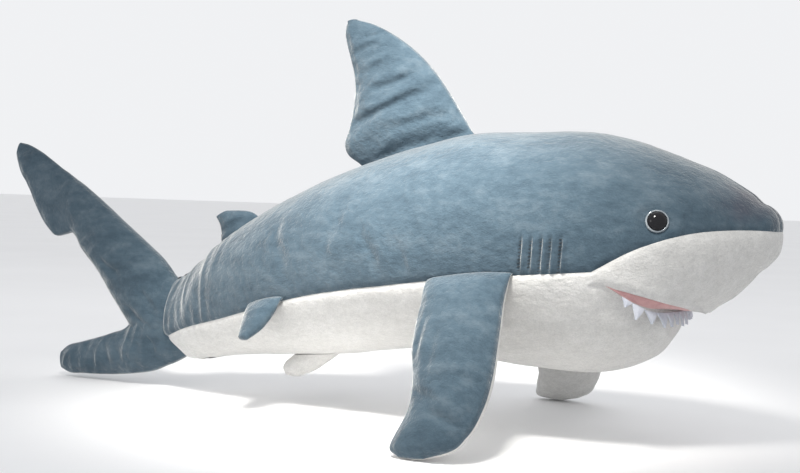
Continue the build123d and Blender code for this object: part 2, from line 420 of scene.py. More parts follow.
middle, tall, wide = sections(columns)
safe_tall = np.maximum(tall, 1e-5)
seam_angle = np.arcsin(np.clip((flank_seam(columns) - middle) / safe_tall, -0.9, 0.9))
lip_z = lip(UPPER_LIP, columns)
lip_angle = np.arcsin(np.clip((lip_z - middle) / safe_tall, -0.999, 0.9))
plain_angle = seam_angle + 0.3 * (-math.pi / 2 - seam_angle)
to_lip = smoothstep(0.19, CORNER_X, columns)
mouth_angle = plain_angle + (np.minimum(lip_angle, seam_angle - 0.02) - plain_angle) * to_lip
TOP, BOTTOM = math.pi / 2, -math.pi / 2


def spread(start, stop, count, first=0):
    """Angles from start to stop, one column of the body at a time."""
    t = np.arange(first, count + 1) / count
    return start[:, None] + (stop - start)[:, None] * t[None, :]


angles = np.concatenate(
    [
        spread(np.full_like(seam_angle, TOP), seam_angle, ROWS_GREY),
        spread(seam_angle, mouth_angle, ROWS_LIP, 1),
        spread(mouth_angle, np.full_like(seam_angle, BOTTOM), ROWS_WHITE, 1),
    ],
    axis=1,
)
SEAM_ROW = ROWS_GREY
LIP_ROW = ROWS_GREY + ROWS_LIP

plain = np.stack(
    [
        np.broadcast_to(columns[:, None], angles.shape),
        wide[:, None] * np.cos(angles),
        middle[:, None] + tall[:, None] * np.sin(angles),
    ],
    axis=-1,
)
# Distances round the section: from the middle of the back, and from the seams below it.
step = np.linalg.norm(np.diff(plain, axis=1), axis=2)
from_top = np.concatenate([np.zeros((len(columns), 1)), np.cumsum(step, axis=1)], axis=1)
from_seam = from_top - from_top[:, SEAM_ROW : SEAM_ROW + 1]
from_lip = from_top - from_top[:, LIP_ROW : LIP_ROW + 1]
from_bottom = from_top[:, -1:] - from_top
X, Z = plain[..., 0], plain[..., 2]
body_normal = grid_normals(plain)
# Every normal is turned to face out of the body.
outward = plain - np.stack([X, np.zeros_like(X), np.broadcast_to(middle[:, None], X.shape)], -1)
flip = np.sign(np.sum(body_normal * outward, axis=2, keepdims=True))
body_normal = body_normal * np.where(flip == 0, 1, flip)


# ---- body relief
# Each relief is in metres along the surface's outward direction.
EYE_CENTRE = (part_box("eye_rim_left")[0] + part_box("eye_rim_left")[1]) / 2
GILLS = [209, 217, 225, 232, 240]
GILL_LOW, GILL_HIGH = 0.139, 0.166
# Creases on the flank, in side view: start, stop, width and depth in millimetres.
FLANK_CREASES = [
    ((66, 168), (88, 128), 4.5, 1.5),
    ((44, 186), (30, 140), 5.0, 1.1),
    ((-30, 170), (-10, 124), 5.0, 1.2),
    ((104, 160), (110, 128), 4.0, 1.1),
]


def crease(x, z, start, stop, width, depth):
    """A crease from start to stop in side view, with a soft lip above it."""
    (x0, z0), (x1, z1) = start, stop
    run = Vector((x1 - x0, z1 - z0))
    along = ((x - x0) * run.x + (z - z0) * run.y) / run.length_squared
    across = ((z - z0) * run.x - (x - x0) * run.y) / run.length
    ends = smoothstep(-0.15, 0.25, along) * (1 - smoothstep(0.7, 1.15, along))
    return ends * (-depth * bump(across, width) + 0.5 * depth * bump(across - 2 * width, 1.6 * width))


def creased(x, z, table):
    """The relief of a table of creases."""
    return sum(crease(x / MM, z / MM, *row) for row in table) * MM


def lumps(flat, scale, seed, stretch=(1, 1, 1)):
    return noise_field(flat, scale, seed, stretch).reshape(X.shape)


def gathers(side):
    """Upright gathers of loose cloth, deepest where the body narrows to the tail."""
    flat = np.stack([X.ravel(), np.full(X.size, side * 0.3), Z.ravel()], axis=1)
    flat[:, 0] += noise_field(flat, 0.045, 4.0) * 0.006
    sharp = 1 - 2 * np.abs(lumps(flat, 0.0125, 11.0, (1, 1, 0.16)))
    fine = lumps(flat, 0.0062, 23.0, (1, 1, 0.22))
    reach = 1 - smoothstep(-0.165, -0.085, X) + 0.25 * (1 - smoothstep(-0.13, 0.05, X))
    on_white = np.where(from_seam > 0, 0.55, 1.0)
    return (0.0016 * sharp + 0.0007 * fine) * reach * on_white


def seam_relief(flat):
    """Seams pull in, and the stuffed cloth swells and puckers beside them."""
    seam = np.abs(from_seam)
    relief = 0.0003 * bump(seam - 0.008, 0.006) - 0.0013 * bump(seam, 0.0019)
    relief -= (0.0011 + 0.0016 * smoothstep(0.34, 0.37, X)) * bump(from_top, 0.0026)
    relief -= 0.0022 * smoothstep(0.335, 0.350, X) * bump(from_bottom, 0.0030)
    puckers = lumps(flat, 0.0085, 31.0, (1, 0.25, 0.25))
    return relief + puckers * (0.0007 * bump(seam, 0.010) + 0.0004 * bump(from_top, 0.007))


def gill_bend(z):
    """Each gill line is slightly curved."""
    return 0.0015 * np.sin((z - GILL_LOW) * 60)


def gill_relief(flat):
    """A sharp groove with a raised rib in front of it, in cloth that the stitches pull."""
    upright = smoothstep(GILL_LOW - 0.002, GILL_LOW + 0.003, Z)
    upright *= 1 - smoothstep(GILL_HIGH - 0.003, GILL_HIGH + 0.002, Z)
    near_gills = smoothstep(0.200, 0.208, X) * (1 - smoothstep(0.241, 0.250, X))
    relief = 0.0006 * lumps(flat, 0.0030, 41.0, (0.35, 0.2, 1)) * near_gills
    for gill in GILLS:
        across = X - gill * MM - gill_bend(Z)
        relief += 0.0013 * bump(across - 0.0028, 0.0016) - 0.0020 * bump(across, 0.0011)
    return relief * upright


def eye_socket():
    """The eye sits in a shallow socket."""
    to_eye = np.hypot(X - EYE_CENTRE.x, Z - EYE_CENTRE.z)
    return 0.0010 * bump(to_eye - 0.0165, 0.0040) - 0.0026 * bump(to_eye, 0.0105)


def mouth_relief(flat):
    """The upper lip is full, the lower jaw sits back behind the gum, and the chin is round."""
    in_front = at_mouth(X)
    relief = 0.0016 * in_front * bump(from_lip + 0.006, 0.006)
    ramp = np.minimum(0.0025, 0.3 * from_lip[:, -1:] + 1e-6)
    below = np.clip(from_lip / ramp, 0, 1) * (1 - smoothstep(0.012, 0.034, from_lip))
    chin_end = 1 - smoothstep(LIP_FRONT - 0.0015, LIP_FRONT + 0.0015, X)
    relief -= jaw_setback(X) * below * chin_end
    chin = smoothstep(0.205, 0.285, X) * (1 - smoothstep(0.292, 0.314, X))
    relief += 0.0062 * chin * bump(from_bottom, 0.075) * smoothstep(0.018, 0.040, from_lip)
    cheek = smoothstep(BRANCH_X - 0.004, BRANCH_X + 0.004, X) * (1 - in_front)
    relief -= 0.0020 * bump(from_lip, 0.0022) * cheek
    puckers = lumps(flat, 0.009, 51.0, (1, 0.3, 0.3))
    return relief + 0.0009 * puckers * in_front * bump(from_lip + 0.004, 0.010)


def snout_relief(flat):
    """The top of the head is a little flat, and the white cloth under the nose is pleated."""
    crown = smoothstep(0.12, 0.22, X) * (1 - smoothstep(0.350, 0.380, X)) * bump(from_top, 0.09)
    under_nose = smoothstep(0.325, 0.350, X) * smoothstep(0.002, 0.012, from_seam)
    under_nose *= 1 - smoothstep(-0.012, 0.0, from_lip)
    pleats = 1 - 2 * np.abs(lumps(flat, 0.0085, 61.0, (1, 0.6, 0.22)))
    return 0.0010 * pleats * under_nose - 0.0028 * crown


def body_relief(side):
    flat = np.stack([X.ravel(), side * plain[..., 1].ravel(), Z.ravel()], axis=1)
    soft, small = lumps(flat, 0.085, 7.0), lumps(flat, 0.026, 9.0)
    relief = 0.0016 * soft + 0.0005 * small + seam_relief(flat) + gathers(side)
    relief += creased(X + 0.004 * small, Z - 0.003 * soft, FLANK_CREASES)
    relief += gill_relief(flat) + eye_socket() + mouth_relief(flat) + snout_relief(flat)
    # everything eases out at the very tip of the nose
    return relief * (1 - smoothstep(BODY_FRONT - 0.004, BODY_FRONT, X))


def body_half(side):
    """The points of one half of the skin, with its middle rows closed on the mirror plane."""
    points = plain + body_normal * body_relief(side)[..., None]
    jaw = (np.arange(X.shape[1])[None, :] > LIP_ROW) & (columns[:, None] <= LIP_FRONT)
    points[..., 0] = np.where(jaw, tucked(points[..., 0], 0.25), points[..., 0])
    # the nose seam pulls the tip in between its two halves
    at_tip = smoothstep(0.366, 0.384, X)
    points[..., 0] -= 0.0042 * at_tip * bump(points[..., 1], 0.0075)
    # the body's end is cut at a slant, further forward at the bottom
    slant = smoothstep(0.062, 0.026, Z) * (1 - smoothstep(BODY_REAR, BODY_REAR + 0.045, X))
    points[..., 0] += 0.015 * slant
    points[..., 2] += 0.0055 * slant
    points[:, (0, -1), 1] = 0.0
    points[..., 1] *= side
    return points


halves = {side: body_half(side) for side in (-1, 1)}


def body_piece(name, selection, material, sides=(-1, 1)):
    """A cloth panel of the body: selection(i, j) says which grid cells belong to it."""
    rows, cols = X.shape
    keep = selection(np.arange(rows - 1)[:, None], np.arange(cols - 1)[None, :])
    keep = np.broadcast_to(keep, (rows - 1, cols - 1))
    parts = [
        (halves[side].reshape(-1, 3), grid_faces(rows, cols, keep, flip=side > 0))
        for side in sides
    ]
    piece = new_mesh(name, *gather(parts), material)
    drop_loose(piece)
    return piece


# dark, middle and light
GREYS = srgb(60, 77, 89), srgb(76, 94, 106), srgb(97, 112, 122)
WHITES = srgb(204, 203, 200), srgb(214, 213, 210), srgb(223, 222, 220)


def nose_darkening(m):
    """Where the colour on top of the nose goes darker and patchy."""
    values = {0: m.position, 1: (0.366, 0.0, 0.196)}
    place = m.add("ShaderNodeVectorMath", values, operation="SUBTRACT")
    spread_out = m.add("ShaderNodeVectorMath", {0: place.outputs[0]}, operation="MULTIPLY")
    spread_out.inputs[1].default_value = (38.0, 17.0, 46.0)
    length = m.add("ShaderNodeVectorMath", {0: spread_out.outputs[0]}, operation="LENGTH")
    patchy = m.math("MULTIPLY", m.noise(46, 3, 0.6, offset=8.0), 1.3)
    amount = m.math("SUBTRACT", patchy, m.math("MULTIPLY", length.outputs["Value"], 0.62))
    return m.add("ShaderNodeClamp", {"Value": m.math("ADD", amount, 0.12)}).outputs[0]


def grey_body_material():
    m = plush("grey_plush_body", *GREYS, 1.0, (1.0, 0.99, 0.96), 0.35)
    base = m.shader.inputs["Base Color"].links[0].from_socket
    # a darker purple-grey mixed in, in patches, on top of the nose
    m.colour(m.mix(nose_darkening(m), base, srgb(74, 72, 84)))
    return m.material


grey_body = grey_body_material()
grey_fin = plush("grey_plush_fin", *GREYS, 0.9, (1.0, 0.99, 0.96), 0.35).material
white_plush = plush("white_plush", *WHITES, 0.45, (1.0, 0.99, 0.97), 0.6).material
gum_cloth = felt("gum_cloth", srgb(214, 170, 168), srgb(192, 146, 146))
tooth_cloth = felt("tooth_felt", srgb(204, 207, 216), srgb(184, 188, 199))
gill_thread = thread("gill_thread", srgb(40, 52, 62))

branch_column = int(np.searchsorted(columns, BRANCH_X))
chin_column = int(np.searchsorted(columns, LIP_FRONT)) - 1
for side, side_name in SIDES:
    back = body_piece(
        f"back_cloth_{side_name}", lambda i, j: j < SEAM_ROW, grey_body, (side,)
    )
    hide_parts(f"back_panel_{side_name}", *(["body_stuffing"] if side > 0 else []))
    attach(back, "body")
    snout = body_piece(
        f"snout_cloth_{side_name}",
        lambda i, j: (j >= SEAM_ROW) & (i >= branch_column) & ((j < LIP_ROW) | (i > chin_column)),
        white_plush,
        (side,),
    )
    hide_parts(f"snout_panel_{side_name}")
    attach(snout, "body")
belly = body_piece(
    "belly_cloth",
    lambda i, j: (j >= SEAM_ROW) & (i < chin_column) & ((j >= LIP_ROW) | (i < branch_column)),
    white_plush,
)
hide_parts("belly_panel")
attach(belly, "body")


# ---- mouth: gum and teeth
def out_of_body(points):
    """The plain body's outward direction at points on it."""
    middle, tall, wide = sections(points[..., 0])
    ahead = sections(points[..., 0] + 0.002)
    out = np.stack(
        [
            (wide - ahead[2]) / 0.002 / np.maximum(wide, 1e-5),
            points[..., 1] / np.maximum(wide, 1e-5) ** 2,
            (points[..., 2] - middle) / np.maximum(tall, 1e-5) ** 2,
        ],
        -1,
    )
    return out / np.maximum(np.linalg.norm(out, axis=-1, keepdims=True), 1e-9)


def lip_line(points, side, count, proud=None):
    """Points along a lip from the mouth corner to the middle of the chin. With proud given, they
    follow the jaw where it sits back, and stand that far in front of it, but not past the lip."""
    x = CORNER_X + (lip_front(points) - CORNER_X) * np.sin(np.linspace(0, math.pi / 2, count))
    line = on_body(x, lip(points, x), side)
    sunk = np.zeros_like(x) if proud is None else np.maximum(jaw_setback(x) - proud, 0)
    line = line - out_of_body(line) * sunk[:, None]
    if proud is not None:
        line[:, 0] = tucked(line[:, 0], 0.45)
    return line


def gum_shape():
    """A padded strip under the upper lip, from corner to corner round the chin."""
    along, across = 70, 12
    parts = []
    for side in (-1, 1):
        upper = lip_line(UPPER_LIP, side, along)
        lower = lip_line(LOWER_LIP, side, along, 0.0012)
        t = np.linspace(-0.12, 1.0, across)
        grid = upper[:, None] + (lower - upper)[:, None] * t[None, :, None]
        out = out_of_body(grid)
        swell = -0.0022 + 0.0026 * np.sqrt(np.clip(1 - (2 * np.clip(t, 0, 1) - 1) ** 2, 0, 1))
        swell = swell[None, :] * np.ones((along, 1))
        swell[:, -1] = -0.0025
        flat = grid.reshape(-1, 3)
        swell = swell + 0.0005 * noise_field(flat, 0.010, 71.0).reshape(swell.shape)
        points = (grid + out * swell[..., None]).reshape(-1, 3)
        points[-across:, 1] = 0
        parts.append((points, grid_faces(along, across, flip=side > 0)))
    return gather(parts)


gum = new_mesh("gum_strip", *gum_shape(), gum_cloth)
drop_loose(gum)
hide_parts("mouth_lining")
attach(gum, "body")

TEETH_A_SIDE = 7
TOOTH_THICK, TOOTH_LENGTH = 0.0016, 0.0108
TEETH_START = 0.014  # from the mouth corner, along the lip
TEETH_PROUD = 0.0042  # in front of the jaw


def tooth_shape(base, along, down, outward, width, drop):
    """One felt tooth: a slightly cupped triangle with a soft point."""
    steps, points, faces = 8, [], []
    for layer in (0.5, -0.5):
        for i in range(steps + 1):
            t = i / steps
            half = width / 2 * (1 - t) + 0.0003
            cup = outward * (0.0010 * math.sin(t * math.pi * 0.8))
            centre = base + down * (drop * t) + cup
            for s in (-1, 0, 1):
                crown = outward * (0.0006 * (1 - abs(s)) + TOOTH_THICK * layer)
                points.append(centre + along * (half * s) + crown)
    count = 3 * (steps + 1)
    for i in range(steps):
        for s in range(2):
            a = 3 * i + s
            faces.append((a, a + 1, a + 4, a + 3))
            b = a + count
            faces.append((b, b + 3, b + 4, b + 1))
        for s in (0, 2):
            a = 3 * i + s
            quad = (a, a + 3, a + 3 + count, a + count)
            faces.append(quad if s == 0 else quad[::-1])
    for i in (0, steps):
        for s in range(2):
            a = 3 * i + s
            quad = (a, a + 1, a + 1 + count, a + count)
            faces.append(quad[::-1] if i == 0 else quad)
    return points, faces


def teeth():
    """Both rows of teeth along the jaw, wider towards its front and leaning outwards."""
    parts = []
    for side in (-1, 1):
        line = lip_line(LOWER_LIP, side, 400, TEETH_PROUD)
        length = np.concatenate([[0], np.cumsum(np.linalg.norm(np.diff(line, axis=0), axis=1))])
        row = length[-1] - TEETH_START
        edges = TEETH_START + row * np.linspace(0, 1, TEETH_A_SIDE + 1) ** 1.18
        for count in range(TEETH_A_SIDE):
            pitch = edges[count + 1] - edges[count]
            centre_at = (edges[count + 1] + edges[count]) / 2
            base, ahead, behind = (
                Vector([np.interp(centre_at + d, length, line[:, k]) for k in range(3)])
                for d in (0, 0.003, -0.003)
            )
            along = (ahead - behind).normalized()
            lean = Vector((-0.16, 0.22 * side, -1))
            down = (lean - along * lean.dot(along)).normalized()
            outward = along.cross(down)
            outward = -outward if outward.dot(Vector((0.6, side, 0))) < 0 else outward
            down = (down + outward * 0.30).normalized()
            size = 0.62 if count == 0 else 1.0 + 0.10 * math.sin(count * 2.3)
            base = base + outward * 0.0016 - down * 0.0010
            drop = TOOTH_LENGTH * size
            parts.append(tooth_shape(base, along, down, outward, pitch * 0.96, drop))
    return gather(parts)


tooth_strip = new_mesh("tooth_row", *teeth(), tooth_cloth, smooth=False)
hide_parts("tooth_strip")
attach(tooth_strip, "body")


# ---- gill stitching
STITCH_PITCH, THREAD_RADIUS = 0.0028, 0.00042


def gill_stitches(side):
    """Short stitches that cross each gill groove and pull it tight."""
    parts = []
    for gill in GILLS:
        for z in np.arange(GILL_LOW + 0.001, GILL_HIGH, STITCH_PITCH):
            x = gill * MM + gill_bend(z)
            t = np.linspace(-1, 1, 5)
            sunk = -0.0001 - 0.0009 * (1 - t * t)
            path = on_body(x + 0.0016 * t, z + 0.0005 * t, side, sunk)
            parts.append(tube(path, THREAD_RADIUS))
    return gather(parts)


for side, side_name in SIDES:
    stitches = new_mesh(f"gill_thread_{side_name}", *gill_stitches(side), gill_thread)
    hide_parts(f"gill_stitches_{side_name}")
    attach(stitches, "body")


# ---- eyes
def eye_material():
    m = Nodes("eye_black")
    m.colour(m.ramp(m.noise(60, 2), [(0.3, (0.004, 0.004, 0.005)), (0.8, (0.010, 0.010, 0.012))]))
    scuffs = m.noise(700, 5, 0.7)
    m.put(m.shader, "Roughness", m.between(scuffs, 0.03, 0.09))
    m.set(Specular_IOR_Level=0.30)
    return m.material


def rim_material():
    m = Nodes("eye_rim_clear")
    m.colour(m.ramp(m.noise(90, 2), [(0.3, srgb(150, 160, 168)), (0.7, srgb(205, 212, 216))]))
    m.put(m.shader, "Roughness", m.between(m.noise(800, 4), 0.05, 0.16))
    m.set(Coat_Weight=1.0, Coat_Roughness=0.04, Transmission_Weight=0.35, Metallic=0.25)
    return m.material


def lathe(name, profile, centre, outward, material, turns=64):
    """A turned piece: profile gives (radius, height) in millimetres, along the outward axis."""
    along = outward.orthogonal().normalized()
    across = outward.cross(along)
    points, faces = [], []
    for radius, height in profile:
        for s in range(turns):
            a = 2 * math.pi * s / turns
            spoke = along * math.cos(a) + across * math.sin(a)
            points.append(centre + spoke * (radius * MM) + outward * (height * MM))
    for i in range(len(profile) - 1):
        for s in range(turns):
            a, b = i * turns + s, i * turns + (s + 1) % turns
            faces.append((a, a + turns, b + turns, b))
    piece = new_mesh(name, points, faces, material)
    drop_loose(piece)
    return piece


black, clear = eye_material(), rim_material()
EYE_YAW, EYE_PITCH = math.radians(19.5), math.radians(15)
EYE_RADIUS, EYE_HEIGHT, EYE_EDGE = 7.25, 5.2, 0.6
DOME = [(EYE_RADIUS, -0.8)]
for a in np.linspace(0, math.pi / 2, 20)[:-1]:
    DOME.append((EYE_RADIUS * math.cos(a), EYE_EDGE + (EYE_HEIGHT - EYE_EDGE) * math.sin(a)))
DOME.append((0.001, EYE_HEIGHT))
RIM = [(7.2, 0.2), (7.3, 1.3), (7.6, 1.75), (8.1, 1.8), (8.6, 1.3), (8.8, 0.5), (8.75, -1.0)]
for side, side_name in SIDES:
    outward = Vector((math.sin(EYE_YAW), side * math.cos(EYE_YAW), math.tan(EYE_PITCH)))
    outward.normalize()
    low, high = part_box(f"eye_rim_{side_name}")
    seat = (low + high) / 2 - outward * 0.0013
    eye = lathe(f"eye_dome_{side_name}", DOME, seat, outward, black)
    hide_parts(f"eye_{side_name}")
    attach(eye, "body")
    rim = lathe(f"eye_collar_{side_name}", RIM, seat, outward, clear)
    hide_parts(f"eye_rim_{side_name}")
    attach(rim, "body")
    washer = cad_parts[f"eye_washer_{side_name}"]
    washer.data.materials.clear()
    washer.data.materials.append(clear)


# ---- fins
# Sections from root to tip: leading point, trailing point and thickness, all in millimetres.
# The fins on the middle plane and the creases leave out y; the paired fins are the left ones.
DORSAL_FIN = [
    ((130, 251.5), (23, 222), 15),
    ((126, 258), (12.5, 229), 24),
    ((121, 265), (8.5, 238), 28),
    ((114, 276), (12, 251), 29),
    ((105, 289), (16, 268), 28),
    ((93, 304), (17.5, 286), 25),
    ((78, 319), (15.5, 303), 21),
    ((62, 331), (11, 318), 17),
    ((45, 341), (7, 331), 13),
    ((30, 347.5), (5, 341), 9),
    ((17, 351), (6.5, 349.5), 5),
]
DORSAL_CREASES = [
    ((20, 256), (88, 286), 3.6, 3.0),
    ((40, 286), (76, 300), 3.4, 2.4),
    ((26, 332), (48, 340), 2.6, 1.8),
    ((17, 320), (42, 330), 3.0, 2.2),
    ((60, 252), (112, 268), 4.0, 1.6),
    ((22, 300), (48, 311), 3.4, 1.4),
]
REAR_DORSAL_FIN = [
    ((-84, 171.5), (-122, 146.5), 14),
    ((-91, 175), (-122, 154), 13),
    ((-103, 176), (-124, 162), 12),
    ((-116, 175.5), (-129, 168.5), 6),
]
ANAL_FIN = [
    ((3, 45.5), (-43, 41), 14),
    ((-6, 39), (-48, 36.5), 13),
    ((-18, 31), (-50, 31), 12),
    ((-32, 25), (-48, 26), 6),
]
PECTORAL_FIN = [
    ((204, 97.6, 136), (132, 91.6, 126.5), 10),
    ((203, 101, 129), (132, 95.8, 119.5), 19),
    ((202.5, 106.5, 118), (133, 101.5, 108.5), 23),
    ((203.5, 113, 106), (133.5, 108.5, 96.5), 26),
    ((205, 124, 84), (135, 119, 74), 29),
    ((206, 135.5, 62), (142, 131, 52), 31),
    ((203.5, 147, 40), (143, 142, 30), 29),
    ((195, 155, 21), (137, 150.5, 14), 23),
    ((182, 159, 9), (135.5, 156, 4), 14),
    ((165, 160.8, 3), (142, 159.3, 2), 6),
]
PECTORAL_CREASES = [
    ((156, 58), (198, 46), 3.6, 2.6),
    ((140, 70), (170, 62), 3.2, 2.2),
    ((136, 22), (182, 30), 3.8, 2.4),
    ((139, 124), (135, 92), 3.0, 2.0),
    ((153, 114), (151, 82), 3.0, 1.4),
    ((176, 84), (204, 78), 3.2, 1.4),
]
PELVIC_FIN = [
    ((-12, 73.2, 102.5), (-50, 64.8, 93.5), 7),
    ((-14, 78.5, 96), (-48, 71.0, 87.5), 12),
    ((-18, 86.5, 85.5), (-45, 79.0, 79.5), 13),
    ((-24, 91.5, 77), (-44, 84.5, 73), 10),
    ((-31, 94.5, 70), (-42, 90.5, 68.5), 6),
]


def on_middle_plane(stations):
    return [((a, 0, c), (d, 0, f), t) for (a, c), (d, f), t in stations]


def mirrored(stations):
    return [((a, -b, c), (d, -e, f), t) for (a, b, c), (d, e, f), t in stations]


def swept(stations, shift):
    """The same fin with its tip further forward, growing from nothing at the root."""
    last = len(stations) - 1
    out = []
    for i, ((a, b, c), (d, e, f), t) in enumerate(stations):
        move = shift * (i / last) ** 1.3
        out.append(((a + move, b, c), (d + move, e, f), t))
    return out


SPAN_STEP, CHORD_STEP, TIP_ROUND = 0.0017, 0.0020, 0.002


class Fin:
    """A stuffed fin of two panels, drawn on a grid along its span and across its chord."""

    def __init__(self, stations, root_depth, seed, inward=None):
        lead = np.array([s[0] for s in stations], float) * MM
        trail = np.array([s[1] for s in stations], float) * MM
        thick = np.array([s[2] for s in stations], float) * MM
        if inward is None:
            inward = (lead + trail)[0] / 2 - (lead + trail)[1] / 2
        inward = np.array(inward) / np.linalg.norm(inward) * root_depth
        lead = np.concatenate([[lead[0] + inward], lead])
        trail = np.concatenate([[trail[0] + inward], trail])
        thick = np.concatenate([[thick[0]], thick])
        mids = (lead + trail) / 2
        reach = np.concatenate([[0], np.cumsum(np.linalg.norm(np.diff(mids, axis=0), axis=1))])
        at = np.linspace(0, reach[-1], max(int(reach[-1] / SPAN_STEP), 14))
        pairs = [(r, *a, *b, t) for r, a, b, t in zip(reach, lead, trail, thick)]
        table = through(pairs, at)
        lead, trail, thick = table[:, 0:3], table[:, 3:6], table[:, 6]
        chord = lead - trail
        radius = min(TIP_ROUND, np.linalg.norm(chord[-1]) / 2)
        turn = np.linspace(0, math.pi / 2, 9)[1:]
        mid = (lead + trail) / 2
        forward = mid[-1] - mid[-3]
        forward = forward / np.linalg.norm(forward)
        tip_mid = mid[-1] + forward * radius * np.sin(turn)[:, None]
        half_tip = chord[-1] / 2 * np.cos(turn)[:, None]
        lead = np.concatenate([lead, tip_mid + half_tip])
        trail = np.concatenate([trail, tip_mid - half_tip])
        thick = np.concatenate([thick, thick[-1] * np.cos(turn)])
        self.reach = np.concatenate([at, at[-1] + radius * np.sin(turn)])
        self.lead, self.trail, self.thick = lead, trail, np.maximum(thick, 0.0)
        self.seed = seed

    def surfaces(self, folds, fold_height, creases=()):
        """The two panels, each as points and faces."""
        chord = self.lead - self.trail
        size = np.linalg.norm(chord, axis=1)
        u = (1 - np.cos(np.linspace(0, math.pi, max(int(size.max() / CHORD_STEP), 16)))) / 2
        base = self.trail[:, None] + chord[:, None] * u[None, :, None]
        face = grid_normals(base).reshape(-1, 3).mean(axis=0)
        face /= np.linalg.norm(face)
        from_edge = np.minimum(u[None, :], 1 - u[None, :]) * size[:, None]
        from_tip = (self.reach[-1] - self.reach)[:, None]
        from_edge = np.minimum(from_edge, from_tip)
        full = np.clip(1 - (2 * u - 1) ** 2, 0, 1) ** 0.50
        pillow = self.thick[:, None] / 2 * full[None, :]
        # both panels swell past the edge seam, which lies in the groove between them
        chord_way = chord / np.maximum(size, 1e-6)[:, None]
        rim = 0.0011 * bump(from_edge - 0.0022, 0.0016) * np.minimum(self.thick[:, None] / 0.012, 1)
        rim = rim * np.where(u[None, :] > 0.5, 1, -1)
        base = base + chord_way[:, None] * rim[..., None]
        shape = base.shape[:2]
        panels = []
        for sign in (1, -1):
            flat = (base + face * sign * 0.05).reshape(-1, 3)
            relief = fold_height * folds(flat, self.seed + sign).reshape(shape)
            relief += 0.0010 * noise_field(flat, 0.030, self.seed + 2 * sign).reshape(shape)
            wander = 0.0012 * noise_field(flat, 0.018, self.seed + 3 * sign).reshape(shape)
            x, _, z = flat.T.reshape(3, *shape)
            relief += creased(x + wander, z - wander, creases)
            puckers = noise_field(flat, 0.0075, self.seed + 5 * sign).reshape(shape)
            relief += 0.0013 * puckers * bump(from_edge - 0.003, 0.007)
            swell = np.maximum(pillow + relief * np.minimum(from_edge / 0.008, 1), 0.0)
            points = (base + face * (sign * swell)[..., None]).reshape(-1, 3)
            panels.append((points, grid_faces(*shape, flip=sign < 0)))
        return panels


def slanted(rise, size, stretch):
    """Folds that run at a slant across the fin's chord."""
    turn = math.radians(rise)

    def folds(points, seed):
        x, y, z = points.T
        along = x * math.cos(turn) + z * math.sin(turn)
        across = -x * math.sin(turn) + z * math.cos(turn)
        moved = np.stack([along, y, across], 1)
        rough = noise_field(moved, size, seed, (stretch, 1, 1))
        return 1 - 2.2 * np.abs(rough)

    return folds


def fin_pieces(panels, body, start, end):
    """Makes both panels of a fin as pieces, and hides the CAD parts they replace."""
    for name, shape, (material, slot), nodes in panels:
        piece = new_mesh(name, *shape, material)
        drop_loose(piece)
        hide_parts(*nodes)
        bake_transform(piece)


def root_span(stations, bend):
    """A point just inside the body at the fin's root, and one the given distance further along the fin."""
    first = (Vector(stations[0][0]) + Vector(stations[0][1])) / 2 * MM
    later = (Vector(stations[2][0]) + Vector(stations[2][1])) / 2 * MM
    span = (later - first).normalized()
    return first - span * 0.002, first + span * bend


GREY_CLOTH, WHITE_CLOTH = (grey_fin, "grey_plush"), (white_plush, "white_plush")
# Name, stations, depth of the root in the body, bend, folds, their height, cloth and creases.
FINS = (
    ("dorsal", DORSAL_FIN, 0.012, 0.026, slanted(28, 0.017, 0.3), 0.0018, GREY_CLOTH, DORSAL_CREASES),
    ("rear_dorsal", REAR_DORSAL_FIN, 0.007, 0.014, slanted(35, 0.010, 0.4), 0.0010, GREY_CLOTH, ()),
    ("anal", ANAL_FIN, 0.006, 0.014, slanted(-35, 0.010, 0.4), 0.0008, WHITE_CLOTH, ()),
)
for seed, (name, stations, depth, bend, folds, height, cloth, creases) in enumerate(FINS):
    stations = on_middle_plane(stations)
    shapes = Fin(stations, depth, 13.0 + 9 * seed).surfaces(folds, height, creases)
    left_first = shapes[0][0][:, 1].mean() > 0
    panels = []
    for shape, side in zip(shapes, ("left", "right") if left_first else ("right", "left")):
        nodes = [f"{name}_panel_{side}"] + [f"{name}_stuffing"] * (side == "left")
        panels.append((f"{name}_cloth_{side}", shape, cloth, nodes))
    fin_pieces(panels, f"{name}_fin", *root_span(stations, bend))

# The same for the paired fins; the cloth is that of the inner panel.
PAIRED = (
    ("pectoral", PECTORAL_FIN, 0.012, 0.028, slanted(12, 0.02, 0.3), 0.0016, WHITE_CLOTH, PECTORAL_CREASES),
    ("pelvic", PELVIC_FIN, 0.010, 0.016, slanted(20, 0.011, 0.4), 0.0010, GREY_CLOTH, ()),
)
FAR_FIN_LEAD = 15.0  # mm that the far pectoral fin's tip is further forward
for seed, (name, left, depth, bend, folds, height, inner, creases) in enumerate(PAIRED):
    for side, side_name in SIDES:
        stations = left if side > 0 else mirrored(left)
        if name == "pectoral" and side > 0:
            stations = swept(stations, FAR_FIN_LEAD)
        fin = Fin(stations, depth, 61.0 + 17 * seed + 5 * side, inward=(0, -side, 0.1))
        shapes = fin.surfaces(folds, height, creases)
        outer_first = (shapes[0][0] - shapes[1][0])[:, 1].mean() * side > 0
        panels = []
        for shape, kind in zip(shapes, ("outer", "inner") if outer_first else ("inner", "outer")):
            nodes = [f"{name}_{kind}_{side_name}"]
            nodes += [f"{name}_stuffing_{side_name}"] * (kind == "outer")
            cloth = GREY_CLOTH if kind == "outer" else inner
            panels.append((f"{name}_{kind}_cloth_{side_name}", shape, cloth, nodes))
        fin_pieces(panels, f"{name}_fin_{side_name}", *root_span(stations, bend))

